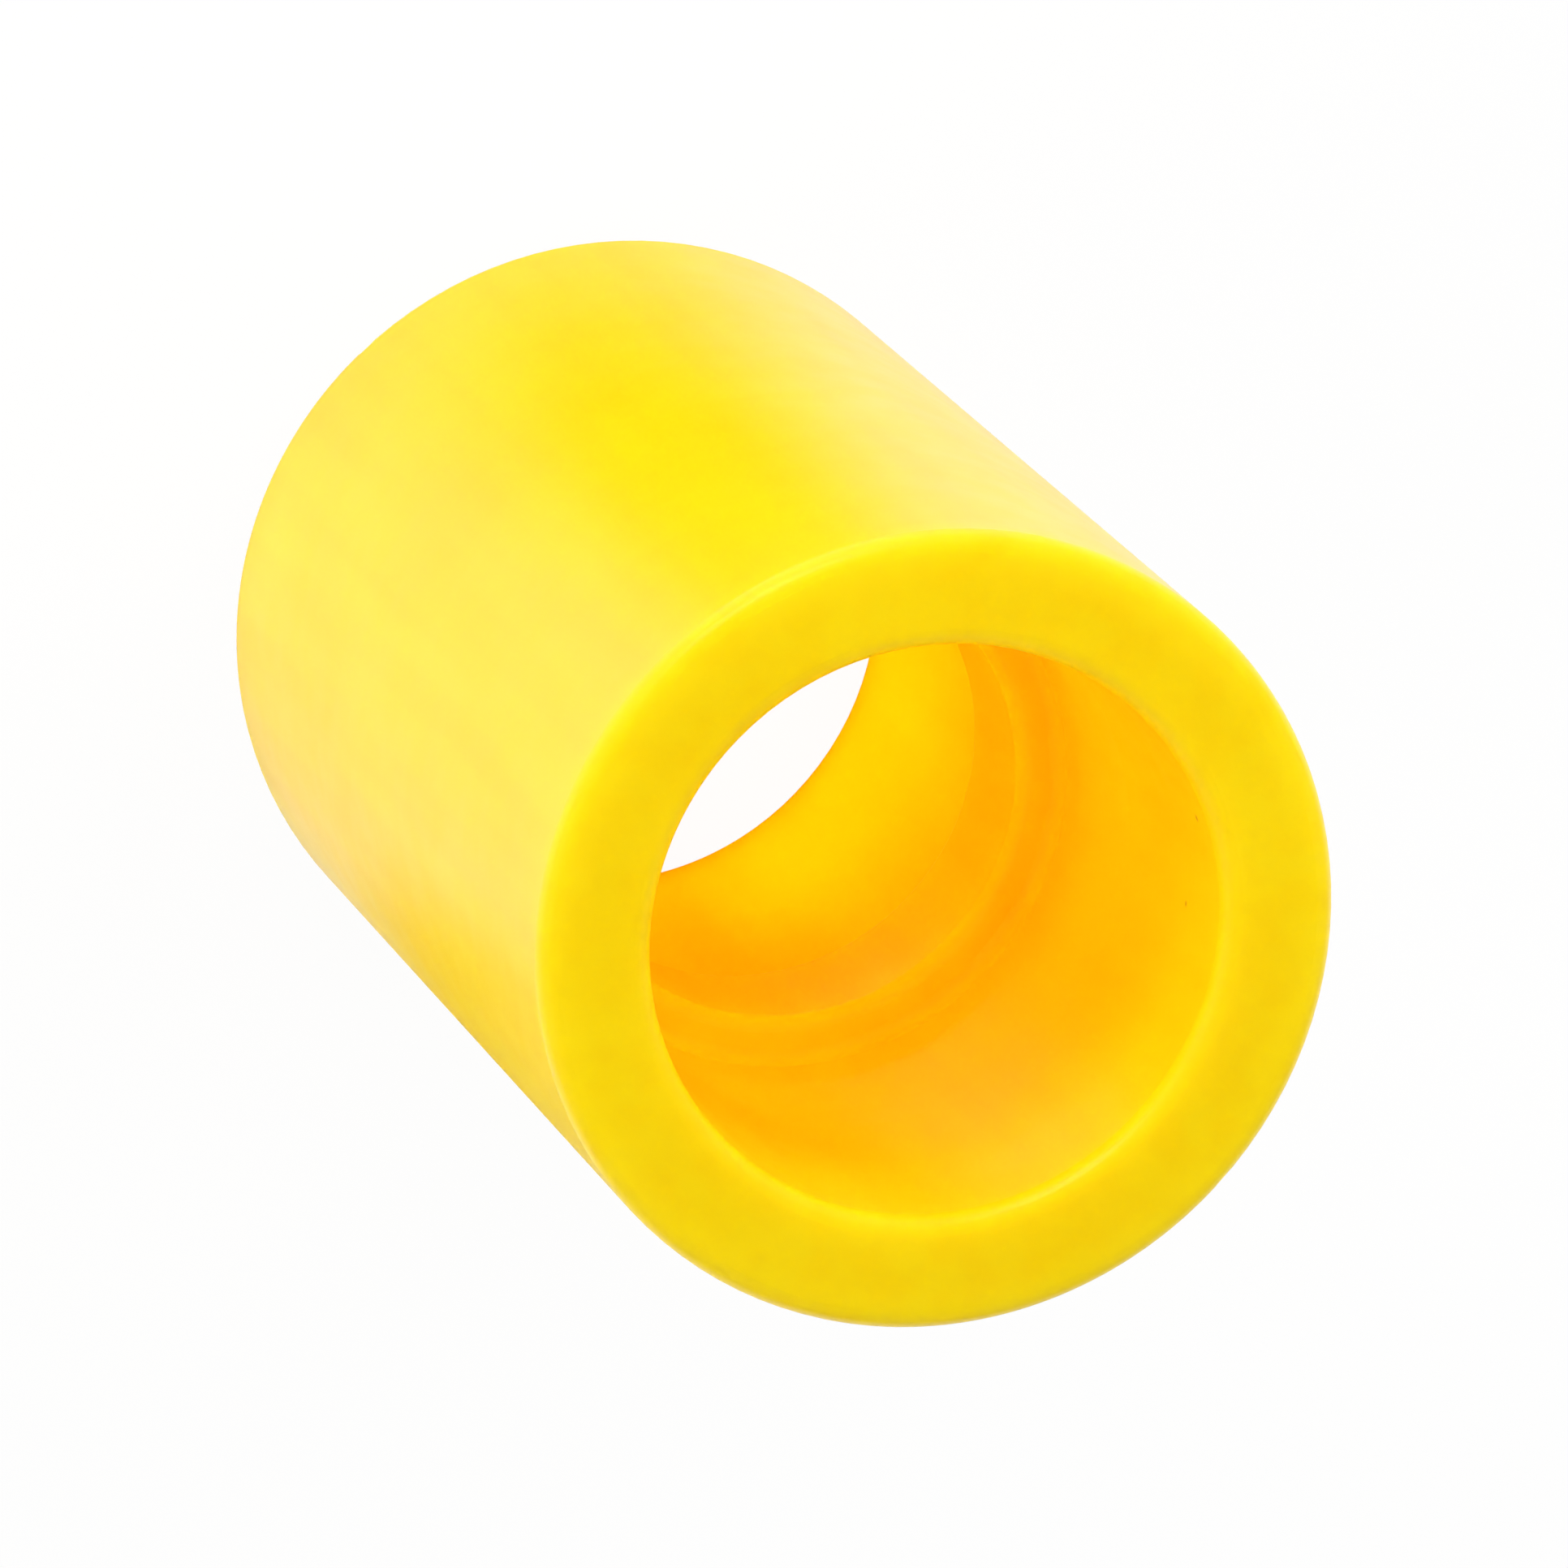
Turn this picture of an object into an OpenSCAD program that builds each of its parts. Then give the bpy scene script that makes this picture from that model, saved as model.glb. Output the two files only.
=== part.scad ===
// Socket fusion coupling for polyethylene pipe, moulded in one piece and standing on one end.
// Z is the pipe axis, and the origin is the centre of the lower end face. Sizes are in millimetres.

/* [Pipe] */
// Outside diameter of the pipe that goes into each socket
pipe_d = 60.3; // [50:0.1:66]
// Wall thickness of that pipe
pipe_wall = 5.5; // [4:0.1:8]

/* [Sockets] */
// Depth of each socket, from the end face to the centre stop
socket_depth = 56; // [40:0.5:80]
// How much narrower than the pipe a socket is, just inside its mouth
mouth_bite = 0.9; // [0.3:0.1:1.4]
// How much narrower than the pipe a socket is, at its seat
seat_bite = 1.5; // [1:0.1:2.5]
// Length of the parallel seat between the centre stop and the taper
seat_len = 24; // [8:0.5:30]
// Round on the rim of each mouth
mouth_round = 2; // [0.5:0.1:3]
// Fillet in the corner at the bottom of each socket
root_fillet = 1.5; // [0.3:0.1:1.7]

/* [Body] */
// Wall thickness around the mouths
wall = 11.8; // [6:0.1:16]
// Round on the outer edge of each end
outer_round = 2; // [0.5:0.1:3]

/* [Centre stop] */
// Length of the stop, which is the gap left between the two pipe ends
stop_len = 18; // [6:0.5:30]
// Round on the two edges of the stop
stop_round = 1.5; // [0.3:0.1:1.7]

/* [Hidden] */
$fn = 160;

// Radii of a socket at its mouth and at its seat, and of the outside
mouth_r = (pipe_d - mouth_bite) / 2;
seat_r = (pipe_d - seat_bite) / 2;
body_r = mouth_r + wall;
// The stop is as wide inside as the pipe, so the flow meets no step
stop_r = pipe_d / 2 - pipe_wall;

// Heights in the upper half
body_len = 2 * socket_depth + stop_len;
shoulder_z = body_len - socket_depth;
taper_z = shoulder_z + seat_len;
mouth_z = body_len - mouth_round;

// How far a cut reaches past the surface that it opens
past = 1;

// The space between a square corner at the origin, with its sides along +X and +Y, and a round
// of radius r inside it: cut from the wall it rounds an edge, and left in a corner it is a fillet
module corner(r) {
    difference() {
        translate([-past, -past]) square(r + past);
        translate([r, r]) circle(r);
    }
}

// Half section of the upper socket: a parallel seat on the stop, then a taper that opens upwards
module socket_section() {
    difference() {
        polygon([
            [stop_r - past, shoulder_z],
            [seat_r, shoulder_z],
            [seat_r, taper_z],
            [mouth_r, mouth_z],
            [mouth_r, body_len + past],
            [stop_r - past, body_len + past]
        ]);
        translate([seat_r, shoulder_z]) mirror([1, 0]) corner(root_fillet);
    }
}

// Everything that is cut from the upper half of the wall
module end_cuts() {
    socket_section();
    translate([stop_r, shoulder_z]) mirror([0, 1]) corner(stop_round);
    translate([mouth_r, body_len]) mirror([0, 1]) corner(mouth_round);
    translate([body_r, body_len]) rotate(180) corner(outer_round);
}

// Half section of the wall, with radius along X and height along Y
module wall_section() {
    difference() {
        translate([stop_r, 0]) square([body_r - stop_r, body_len]);
        end_cuts();
        translate([0, body_len]) mirror([0, 1]) end_cuts();
    }
}

module coupling() {
    color([0.98, 0.84, 0.04]) rotate_extrude() wall_section();
}

coupling();
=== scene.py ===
import math

import bpy
from mathutils import Matrix, Vector


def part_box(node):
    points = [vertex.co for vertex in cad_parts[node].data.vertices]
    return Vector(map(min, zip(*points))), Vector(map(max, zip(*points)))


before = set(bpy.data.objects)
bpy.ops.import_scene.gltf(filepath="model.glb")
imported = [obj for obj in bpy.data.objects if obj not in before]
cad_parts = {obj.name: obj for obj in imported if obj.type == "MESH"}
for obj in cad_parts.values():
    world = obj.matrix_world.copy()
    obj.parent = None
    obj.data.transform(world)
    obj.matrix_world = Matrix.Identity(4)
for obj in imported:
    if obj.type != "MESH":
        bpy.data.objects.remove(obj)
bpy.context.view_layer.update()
scene = bpy.context.scene
scene.view_settings.view_transform = "Standard"


# The coupling: one thick tube of yellow polyethylene, injection moulded in one piece, with faint
# flow streaks and a slight orange peel in its waxy skin, and with rims that handling has rubbed
# paler and duller. Light goes a few millimetres into the plastic.
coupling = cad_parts["coupling"]
lowest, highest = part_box("coupling")
body_radius = (highest.x - lowest.x) / 2
body_height = highest.z - lowest.z
MOUTH_RADIUS = 0.0297

YELLOW = (0.9, 0.645, 0.003, 1.0)
DEEP_YELLOW = (0.885, 0.565, 0.001, 1.0)
RUBBED_YELLOW = (0.91, 0.69, 0.005, 1.0)
BURNT_BROWN = (0.35, 0.16, 0.02, 1.0)
PLASTIC_IOR = 1.5
LIGHT_DEPTH = 0.006
LIGHT_DEPTH_BY_COLOUR = (1.0, 0.85, 0.1)

plastic = bpy.data.materials.new("yellow_polyethylene")
plastic.use_nodes = True
nodes, links = plastic.node_tree.nodes, plastic.node_tree.links
shader = nodes["Principled BSDF"]
shader.subsurface_method = "BURLEY"
shader.inputs["IOR"].default_value = PLASTIC_IOR
shader.inputs["Subsurface Weight"].default_value = 1.0
shader.inputs["Subsurface Radius"].default_value = LIGHT_DEPTH_BY_COLOUR
shader.inputs["Subsurface Scale"].default_value = LIGHT_DEPTH
place = nodes.new("ShaderNodeTexCoord").outputs["Object"]


def grain(name, per_metre, stretch, detail):
    """Noise with so many grains a metre, drawn out along the tube by the stretch."""
    drawn_out = nodes.new("ShaderNodeMapping")
    drawn_out.inputs["Scale"].default_value = (per_metre, per_metre, per_metre / stretch)
    noise = nodes.new("ShaderNodeTexNoise")
    noise.name = name
    noise.inputs["Scale"].default_value = 1.0
    noise.inputs["Detail"].default_value = detail
    links.new(place, drawn_out.inputs["Vector"])
    links.new(drawn_out.outputs["Vector"], noise.inputs["Vector"])
    return noise.outputs["Fac"]


def fade(value, start, end, at_start, at_end):
    """A soft change from one value to the other while the input goes from start to end."""
    change = nodes.new("ShaderNodeMapRange")
    change.interpolation_type = "SMOOTHSTEP"
    change.inputs["From Min"].default_value = start
    change.inputs["From Max"].default_value = end
    change.inputs["To Min"].default_value = at_start
    change.inputs["To Max"].default_value = at_end
    links.new(value, change.inputs["Value"])
    return change.outputs["Result"]


def join(kind, first, second):
    """Two values joined by a plain sum, product or the larger of them."""
    maths = nodes.new("ShaderNodeMath")
    maths.operation = kind
    links.new(first, maths.inputs[0])
    links.new(second, maths.inputs[1])
    return maths.outputs[0]


def tint(share, under, over):
    """The colour under, covered by the colour over where the share is high."""
    mix = nodes.new("ShaderNodeMix")
    mix.data_type = "RGBA"
    links.new(share, mix.inputs["Factor"])
    if isinstance(under, tuple):
        mix.inputs["A"].default_value = under
    else:
        links.new(under, mix.inputs["A"])
    mix.inputs["B"].default_value = over
    return mix.outputs["Result"]


# The profile point is the distance from the tube's axis and from its middle, so one point on it
# stands for a whole ring at both ends.
split = nodes.new("ShaderNodeSeparateXYZ")
across = nodes.new("ShaderNodeCombineXYZ")
radius = nodes.new("ShaderNodeVectorMath")
radius.operation = "LENGTH"
from_middle = nodes.new("ShaderNodeMath")
from_middle.operation = "SUBTRACT"
from_middle.inputs[1].default_value = (lowest.z + highest.z) / 2
toward_end = nodes.new("ShaderNodeMath")
toward_end.operation = "ABSOLUTE"
profile = nodes.new("ShaderNodeCombineXYZ")
links.new(place, split.inputs["Vector"])
links.new(split.outputs["X"], across.inputs["X"])
links.new(split.outputs["Y"], across.inputs["Y"])
links.new(across.outputs["Vector"], radius.inputs[0])
links.new(split.outputs["Z"], from_middle.inputs[0])
links.new(from_middle.outputs[0], toward_end.inputs[0])
links.new(radius.outputs["Value"], profile.inputs["X"])
links.new(toward_end.outputs[0], profile.inputs["Y"])


def near(start, centre, solid, clear, strength):
    """A mask round a point, at full strength out to solid and gone past clear."""
    distance = nodes.new("ShaderNodeVectorMath")
    distance.operation = "DISTANCE"
    distance.inputs[1].default_value = centre
    links.new(start, distance.inputs[0])
    return fade(distance.outputs["Value"], solid, clear, strength, 0.0)


pigment_clouds = grain("pigment_clouds", per_metre=45, stretch=1.6, detail=2.0)
flow_streaks = grain("flow_streaks", per_metre=220, stretch=14, detail=1.0)
orange_peel = grain("orange_peel", per_metre=420, stretch=1.0, detail=1.0)
mould_waves = grain("mould_waves", per_metre=32, stretch=1.0, detail=0.0)
rub_patches = grain("rub_patches", per_metre=150, stretch=1.0, detail=2.0)

OUTER_EDGE = (body_radius, body_height / 2, 0.0)
MOUTH_EDGE = (MOUTH_RADIUS, body_height / 2, 0.0)
outer_rim = near(profile.outputs["Vector"], OUTER_EDGE, solid=0.0008, clear=0.0055, strength=0.6)
mouth_rim = near(profile.outputs["Vector"], MOUTH_EDGE, solid=0.0006, clear=0.0035, strength=0.3)
rims = join("MAXIMUM", outer_rim, mouth_rim)
rub_share = fade(rub_patches, start=0.3, end=0.6, at_start=0.45, at_end=1.0)
rubbed = join("MULTIPLY", rims, rub_share)

DEEPER_SPECK = (-0.01964, 0.02220, 0.1175)
UPPER_SPECK = (-0.02645, 0.01348, 0.1245)
deeper_speck = near(place, DEEPER_SPECK, solid=0.0001, clear=0.00045, strength=0.6)
upper_speck = near(place, UPPER_SPECK, solid=0.0001, clear=0.00055, strength=0.75)
specks = join("MAXIMUM", deeper_speck, upper_speck)

cloud_share = fade(pigment_clouds, start=0.3, end=0.7, at_start=0.0, at_end=0.45)
streak_share = fade(flow_streaks, start=0.35, end=0.7, at_start=0.0, at_end=0.35)
colour = tint(join("ADD", cloud_share, streak_share), YELLOW, DEEP_YELLOW)
colour = tint(rubbed, colour, RUBBED_YELLOW)
colour = tint(specks, colour, BURNT_BROWN)
links.new(colour, shader.inputs["Base Color"])

GLOSSIEST_SKIN = 0.28
DULLEST_SKIN = 0.32
RUBBED_RIM_ADDS = 0.05
skin_roughness = fade(
    rub_patches,
    start=0.3,
    end=0.7,
    at_start=GLOSSIEST_SKIN,
    at_end=DULLEST_SKIN,
)
rim_roughness = fade(rubbed, start=0.0, end=0.7, at_start=0.0, at_end=RUBBED_RIM_ADDS)
links.new(join("ADD", skin_roughness, rim_roughness), shader.inputs["Roughness"])

PEEL_DEPTH = 0.000003
WAVE_DEPTH = 0.00008
peel = fade(orange_peel, start=0.2, end=0.8, at_start=0.0, at_end=PEEL_DEPTH)
waves = fade(mould_waves, start=0.2, end=0.8, at_start=0.0, at_end=WAVE_DEPTH)
relief = nodes.new("ShaderNodeBump")
relief.inputs["Distance"].default_value = 1.0
links.new(join("ADD", peel, waves), relief.inputs["Height"])
links.new(relief.outputs["Normal"], shader.inputs["Normal"])
for slot in coupling.material_slots:
    slot.material = plastic


# The floor: one wide, flat sheet of white paper that the coupling stands on. It shows as plain
# white round the coupling, with a trace of its shadow, and throws light back on the plastic.
SHEET_CORNERS = ((-1, -1), (1, -1), (1, 1), (-1, 1))
SHEET_FACE = (0, 1, 2, 3)
FLOOR_HALF_WIDTH = 3.0
FLOOR_WHITE = (0.92, 0.92, 0.92, 1.0)
FLOOR_GLOW_SHARE = 0.95

floor_mesh = bpy.data.meshes.new("floor")
floor_corners = [(x * FLOOR_HALF_WIDTH, y * FLOOR_HALF_WIDTH, 0.0) for x, y in SHEET_CORNERS]
floor_mesh.from_pydata(floor_corners, [], [SHEET_FACE])
floor = bpy.data.objects.new("floor", floor_mesh)
scene.collection.objects.link(floor)

# The camera and the gloss see a glowing white, and the light itself meets a matt sheet.
paper = bpy.data.materials.new("white_paper")
paper.use_nodes = True
nodes, links = paper.node_tree.nodes, paper.node_tree.links
nodes.clear()
output = nodes.new("ShaderNodeOutputMaterial")
matt = nodes.new("ShaderNodeBsdfDiffuse")
matt.inputs["Color"].default_value = FLOOR_WHITE
glow = nodes.new("ShaderNodeEmission")
glow.inputs["Strength"].default_value = 1.0
ray = nodes.new("ShaderNodeLightPath")
camera_or_gloss = nodes.new("ShaderNodeMath")
camera_or_gloss.operation = "MAXIMUM"
seen = nodes.new("ShaderNodeMath")
seen.operation = "MAXIMUM"
share = nodes.new("ShaderNodeMath")
share.operation = "MULTIPLY"
share.inputs[1].default_value = FLOOR_GLOW_SHARE
mix = nodes.new("ShaderNodeMixShader")
links.new(ray.outputs["Is Camera Ray"], camera_or_gloss.inputs[0])
links.new(ray.outputs["Is Glossy Ray"], camera_or_gloss.inputs[1])
links.new(camera_or_gloss.outputs[0], seen.inputs[0])
links.new(ray.outputs["Is Transmission Ray"], seen.inputs[1])
links.new(seen.outputs[0], share.inputs[0])
links.new(share.outputs[0], mix.inputs["Fac"])
links.new(matt.outputs["BSDF"], mix.inputs[1])
links.new(glow.outputs["Emission"], mix.inputs[2])
links.new(mix.outputs["Shader"], output.inputs["Surface"])
floor_mesh.materials.append(paper)


# Cards on the floor: soft-edged cards that only the gloss of the plastic sees, as painted
# reflections. An orange one in the lower mouth is painted shade for the shaded paper under the
# bore, which keeps the bore deep orange, and the yellow ones paint the colour and shade that the
# wall throws on the paper, which in turn keeps the wall's own gloss yellow.
CARD_LIFT = 0.0005
FOOT_CARD_LIFT = 0.0002
VIEW_TILT = math.radians(21.87)
# The card colours are painted shade and painted reflection, seen only in the gloss.
ORANGE_SHADE = (0.9, 0.36, 0.0, 1.0)
YELLOW_REFLECTION = (0.9, 0.65, 0.0, 1.0)

soft_oval = bpy.data.node_groups.new("soft_oval", "ShaderNodeTree")
soft_oval.interface.new_socket("Soft Share", in_out="INPUT", socket_type="NodeSocketFloat")
soft_oval.interface.new_socket("Density", in_out="INPUT", socket_type="NodeSocketFloat")
soft_oval.interface.new_socket("Cover", in_out="OUTPUT", socket_type="NodeSocketFloat")
nodes, links = soft_oval.nodes, soft_oval.links
# Generated runs from 0 to 1 over a card, and the mapping makes that -1 to 1 from its middle.
given = nodes.new("NodeGroupInput")
result = nodes.new("NodeGroupOutput")
on_card = nodes.new("ShaderNodeTexCoord")
centred = nodes.new("ShaderNodeMapping")
centred.inputs["Location"].default_value = (-1.0, -1.0, 0.0)
centred.inputs["Scale"].default_value = (2.0, 2.0, 0.0)
oval = nodes.new("ShaderNodeTexGradient")
oval.gradient_type = "SPHERICAL"
edge = nodes.new("ShaderNodeMapRange")
edge.interpolation_type = "SMOOTHSTEP"
links.new(on_card.outputs["Generated"], centred.inputs["Vector"])
links.new(centred.outputs["Vector"], oval.inputs["Vector"])
links.new(oval.outputs["Fac"], edge.inputs["Value"])
links.new(given.outputs["Soft Share"], edge.inputs["From Max"])
links.new(given.outputs["Density"], edge.inputs["To Max"])
links.new(edge.outputs["Result"], result.inputs["Cover"])


def oval_card(name, colour, centre, azimuth, length, width, soft_share, density, lift=CARD_LIFT):
    """A matt oval lying on the floor, its length along the azimuth, faded out over soft_share;
    only the gloss sees it, as a painted reflection.
    """
    mesh = bpy.data.meshes.new(name)
    corners = [(x * width / 2, y * length / 2, 0.0) for x, y in SHEET_CORNERS]
    mesh.from_pydata(corners, [], [SHEET_FACE])
    card = bpy.data.objects.new(name, mesh)
    scene.collection.objects.link(card)
    card.location = (centre.x, centre.y, lift)
    card.rotation_euler = (0.0, 0.0, math.radians(azimuth))
    card.visible_camera = False
    card.visible_diffuse = False
    card.visible_transmission = False
    card.visible_shadow = False

    paint = bpy.data.materials.new(name)
    paint.use_nodes = True
    shader = paint.node_tree.nodes["Principled BSDF"]
    shader.inputs["Base Color"].default_value = colour
    shader.inputs["Roughness"].default_value = 1.0
    shader.inputs["Specular IOR Level"].default_value = 0.0
    oval = paint.node_tree.nodes.new("ShaderNodeGroup")
    oval.node_tree = soft_oval
    oval.inputs["Soft Share"].default_value = soft_share
    oval.inputs["Density"].default_value = density
    paint.node_tree.links.new(oval.outputs["Cover"], shader.inputs["Alpha"])
    mesh.materials.append(paint)


def mirrored_spot(wall_angle, height):
    """The spot on the floor that the camera sees mirrored in the wall at that angle and height."""
    angle = math.radians(wall_angle)
    on_wall = body_radius * Vector((math.sin(angle), -math.cos(angle)))
    along = Vector((math.sin(2 * angle), -math.cos(2 * angle)))
    return on_wall + height * math.tan(VIEW_TILT) * along


# Painted shade: the orange card stands for the shaded paper under the bore, seen only in the
# gloss.
oval_card(
    "bore_shade_card",
    ORANGE_SHADE,
    centre=Vector((0.0, 0.0)),
    azimuth=0,
    length=2 * body_radius,
    width=2 * body_radius,
    soft_share=0.25,
    density=1.0,
)
# Painted reflection: the three yellow cards below paint yellow light and shade on the paper into
# the wall's gloss.
oval_card(
    "band_reflection_card",
    YELLOW_REFLECTION,
    centre=mirrored_spot(wall_angle=-23, height=0.110),
    azimuth=-44,
    length=0.135,
    width=0.130,
    soft_share=0.7,
    density=1.0,
)
oval_card(
    "side_reflection_card",
    YELLOW_REFLECTION,
    centre=mirrored_spot(wall_angle=65, height=0.118),
    azimuth=115,
    length=0.070,
    width=0.110,
    soft_share=0.6,
    density=0.9,
)
oval_card(
    "foot_reflection_card",
    YELLOW_REFLECTION,
    centre=Vector((0.038, -0.050)),
    azimuth=0,
    length=0.16,
    width=0.17,
    soft_share=0.7,
    density=0.27,
    lift=FOOT_CARD_LIFT,
)


# Studio light: a white room with a dark ceiling, soft boxes on both sides, behind and low by the
# camera, and small lamps in the bore and at its foot for the light that the white paper throws up.
# Of the lamps, the gloss shows only the edge light, as a thin line on the rims.
ROOM_WHITE = (1.0, 1.0, 1.0, 1.0)
ROOM_WHITE_TO = math.sin(math.radians(14))
ROOM_DARK_FROM = math.sin(math.radians(48))
CEILING_STRENGTH = 0.03

world = bpy.data.worlds.new("studio_room")
scene.world = world
world.use_nodes = True
nodes, links = world.node_tree.nodes, world.node_tree.links
background = nodes["Background"]
direction = nodes.new("ShaderNodeTexCoord")
height = nodes.new("ShaderNodeSeparateXYZ")
shade = nodes.new("ShaderNodeMapRange")
shade.interpolation_type = "SMOOTHSTEP"
shade.inputs["From Min"].default_value = ROOM_WHITE_TO
shade.inputs["From Max"].default_value = ROOM_DARK_FROM
shade.inputs["To Min"].default_value = 1.0
shade.inputs["To Max"].default_value = CEILING_STRENGTH
links.new(direction.outputs["Generated"], height.inputs["Vector"])
links.new(height.outputs["Z"], shade.inputs["Value"])

# The gloss sees the whole room as dark as its ceiling, which keeps the wall from turning pale.
ray = nodes.new("ShaderNodeLightPath")
strength = nodes.new("ShaderNodeMix")
strength.inputs["B"].default_value = CEILING_STRENGTH
links.new(ray.outputs["Is Glossy Ray"], strength.inputs["Factor"])
links.new(shade.outputs["Result"], strength.inputs["A"])
links.new(strength.outputs["Result"], background.inputs["Strength"])
background.inputs["Color"].default_value = ROOM_WHITE


def soft_box(
    name,
    azimuth,
    elevation,
    level,
    distance=0.6,
    width=0.3,
    height=0.3,
    gloss=False,
    matt=True,
):
    """A lamp that looks at the coupling, from the camera's side at azimuth 0 and its right at 90.

    Right is told before the picture's turn. Level is the share of full light that a surface facing
    the lamp gets from it.
    """
    lamp = bpy.data.lights.new(name, "AREA")
    lamp.shape = "RECTANGLE"
    lamp.size = width
    lamp.size_y = height
    lamp.energy = level * (math.pi * distance) ** 2
    box = bpy.data.objects.new(name, lamp)
    scene.collection.objects.link(box)
    a, e = math.radians(azimuth), math.radians(elevation)
    toward = Vector((math.sin(a) * math.cos(e), -math.cos(a) * math.cos(e), math.sin(e)))
    target = Vector((0.0, 0.0, body_height / 2))
    box.location = target + toward * distance
    box.rotation_euler = (-toward).to_track_quat("-Z", "Y").to_euler()
    box.visible_glossy = gloss
    box.visible_diffuse = matt


soft_box("right_light", azimuth=60, elevation=32, level=0.43)
soft_box("left_light", azimuth=-80, elevation=50, level=0.39)
soft_box("back_light", azimuth=-135, elevation=42, level=0.23)
soft_box("low_light", azimuth=-24, elevation=26, level=0.41, distance=0.7, width=0.5, height=0.2)
soft_box(
    "edge_light",
    azimuth=-24,
    elevation=26,
    level=0.14,
    distance=0.7,
    width=0.4,
    height=0.2,
    gloss=True,
    matt=False,
)


def small_lamp(name, radius, level, centre, toward):
    """A round lamp close to the plastic that doesn't show in its gloss.

    Level is the brightness of the lamp's own face, where 1 is white.
    """
    lamp = bpy.data.lights.new(name, "AREA")
    lamp.shape = "DISK"
    lamp.size = 2 * radius
    lamp.energy = level * (math.pi * radius) ** 2
    disc = bpy.data.objects.new(name, lamp)
    scene.collection.objects.link(disc)
    disc.location = centre
    disc.rotation_euler = toward.to_track_quat("-Z", "Y").to_euler()
    disc.visible_camera = False
    disc.visible_glossy = False


UP = Vector((0.0, 0.0, 1.0))
TO_LEFT_WALL = Vector((-1.0, 0.0, 0.0))
TO_STOP = Vector((-0.5, 0.7, -0.6))
small_lamp("paper_light", radius=0.045, level=0.6, centre=(0.052, -0.074, 0.001), toward=UP)
small_lamp("foot_bore_light", radius=0.026, level=1.07, centre=(0.0, 0.0, 0.001), toward=UP)
small_lamp(
    "lower_bore_light",
    radius=0.01,
    level=7.3,
    centre=(0.016, 0.004, 0.022),
    toward=TO_LEFT_WALL,
)
small_lamp(
    "upper_bore_light",
    radius=0.01,
    level=6.2,
    centre=(0.004, -0.006, 0.096),
    toward=TO_STOP,
)

# Light crosses the bore many times before it leaves, which is what turns the bore orange.
BORE_BOUNCES = 10
scene.cycles.max_bounces = BORE_BOUNCES
scene.cycles.diffuse_bounces = BORE_BOUNCES


# The camera: a long lens that looks down on the upper end, turned so that the lower end of
# the coupling goes away to the upper left of the picture.
LENS_MM = 358.2
SENSOR_MM = 36.0
PICTURE_TURN = math.radians(134.1)
VIEW_DISTANCE = 37.636 * body_radius
TOP_RIGHT_OF_CENTRE = 0.378 * body_radius
TOP_BELOW_CENTRE = 0.3649 * body_radius

camera_data = bpy.data.cameras.new("camera")
camera_data.lens = LENS_MM
camera_data.sensor_width = SENSOR_MM
camera = bpy.data.objects.new("camera", camera_data)
scene.collection.objects.link(camera)
turn = Matrix.Rotation(VIEW_TILT, 3, "X") @ Matrix.Rotation(PICTURE_TURN, 3, "Z")
upper_face = Vector((0.0, 0.0, body_height))
camera.matrix_world = turn.to_4x4()
from_upper_face = Vector((-TOP_RIGHT_OF_CENTRE, TOP_BELOW_CENTRE, VIEW_DISTANCE))
camera.location = upper_face + turn @ from_upper_face
scene.camera = camera
